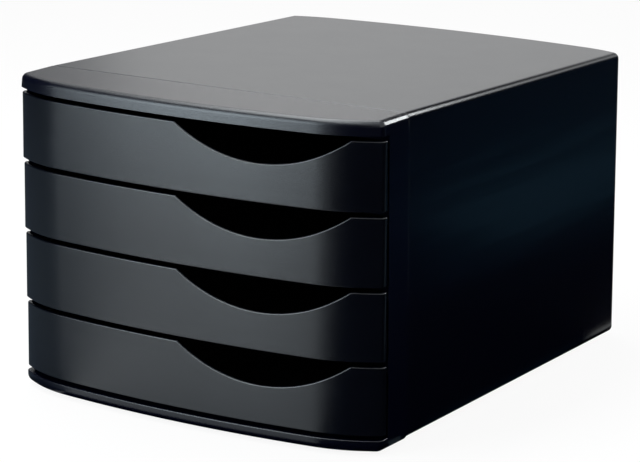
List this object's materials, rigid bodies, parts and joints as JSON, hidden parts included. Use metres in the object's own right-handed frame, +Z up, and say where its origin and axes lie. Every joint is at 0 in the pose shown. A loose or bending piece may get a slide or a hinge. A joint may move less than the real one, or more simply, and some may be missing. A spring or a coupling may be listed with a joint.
{
  "type": "desktop drawer box",
  "caption": "Desktop drawer box of moulded plastic, with shallow letter-size drawers one above the other, bowed fronts and a round finger scoop in the top edge of each.",
  "frame": {"origin": "on the ground under the middle of the box, halfway across its width and depth", "axes": "+X to the right seen from the front, +Y from the drawer fronts to the back, +Z up"},
  "size_m": [0.286, 0.362, 0.217],
  "materials": {
    "housing_plastic": "satin moulded polystyrene",
    "frame_plastic": "fine-textured moulded polystyrene",
    "drawer_front_plastic": "fine-textured moulded polystyrene",
    "tray_plastic": "satin moulded polystyrene",
    "runner_plastic": "satin moulded polystyrene",
    "foot_rubber": "matt rubber"
  },
  "bodies": {
    "housing": {"housing_shell": "housing_plastic", "front_frame": "frame_plastic", "left_runner_1": "runner_plastic", "left_runner_2": "runner_plastic", "left_runner_3": "runner_plastic", "left_runner_4": "runner_plastic", "right_runner_1": "runner_plastic", "right_runner_2": "runner_plastic", "right_runner_3": "runner_plastic", "right_runner_4": "runner_plastic", "foot_front_left": "foot_rubber", "foot_front_right": "foot_rubber", "foot_rear_left": "foot_rubber", "foot_rear_right": "foot_rubber"},
    "drawer_1": {"drawer_front_1": "drawer_front_plastic", "drawer_tray_1": "tray_plastic"},
    "drawer_2": {"drawer_front_2": "drawer_front_plastic", "drawer_tray_2": "tray_plastic"},
    "drawer_3": {"drawer_front_3": "drawer_front_plastic", "drawer_tray_3": "tray_plastic"},
    "drawer_4": {"drawer_front_4": "drawer_front_plastic", "drawer_tray_4": "tray_plastic"}
  },
  "joints": [
    {"name": "drawer_1_slide", "type": "slide", "parent": "housing", "child": "drawer_1", "axis": [0, -1, 0], "range_m": [0, 0.2364]},
    {"name": "drawer_2_slide", "type": "slide", "parent": "housing", "child": "drawer_2", "axis": [0, -1, 0], "range_m": [0, 0.2364]},
    {"name": "drawer_3_slide", "type": "slide", "parent": "housing", "child": "drawer_3", "axis": [0, -1, 0], "range_m": [0, 0.2364]},
    {"name": "drawer_4_slide", "type": "slide", "parent": "housing", "child": "drawer_4", "axis": [0, -1, 0], "range_m": [0, 0.2364]}
  ]
}
